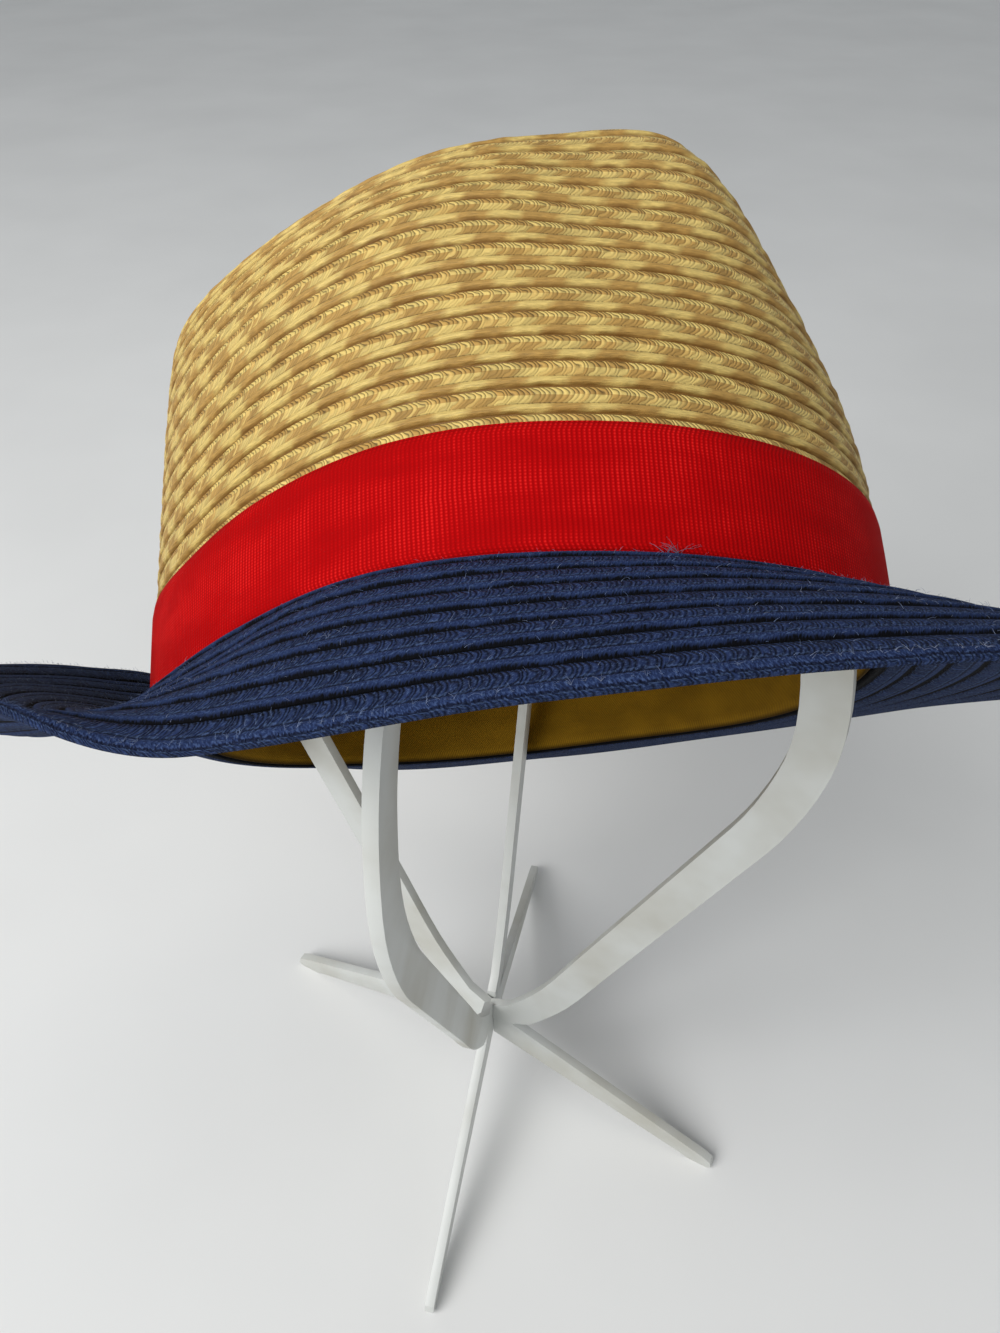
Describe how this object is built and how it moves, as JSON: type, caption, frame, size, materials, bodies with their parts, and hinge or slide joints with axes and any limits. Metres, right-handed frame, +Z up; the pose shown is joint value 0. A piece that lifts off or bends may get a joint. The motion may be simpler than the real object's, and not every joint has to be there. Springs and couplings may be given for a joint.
{
  "type": "straw trilby hat on a plain display stand",
  "caption": "Braided straw trilby with pinched tan crown, red grosgrain ribbon and dark navy brim, hung tilted back over a white crossed-frame plastic hat stand.",
  "frame": {"origin": "middle of the plan of hat and stand together, on the floor under the stand's feet", "axes": "+Z up from the floor; -Y towards the viewer of the picture, +X to that viewer's right; the crown leans back towards +Y"},
  "size_m": [0.2716, 0.237, 0.3184],
  "materials": {
    "tan_straw": "sewn paper-straw braid, matte with a faint sheen",
    "navy_straw": "sewn dyed braid, matte and slightly hairy",
    "red_ribbon": "ribbed grosgrain, matte",
    "band_cloth": "plain woven cotton, matte",
    "white_plastic": "moulded, satin"
  },
  "bodies": {
    "root": {"crown": "tan_straw", "brim": "navy_straw", "ribbon": "red_ribbon", "sweatband": "band_cloth", "stand_frame_a": "white_plastic", "stand_frame_b": "white_plastic"}
  },
  "joints": []
}
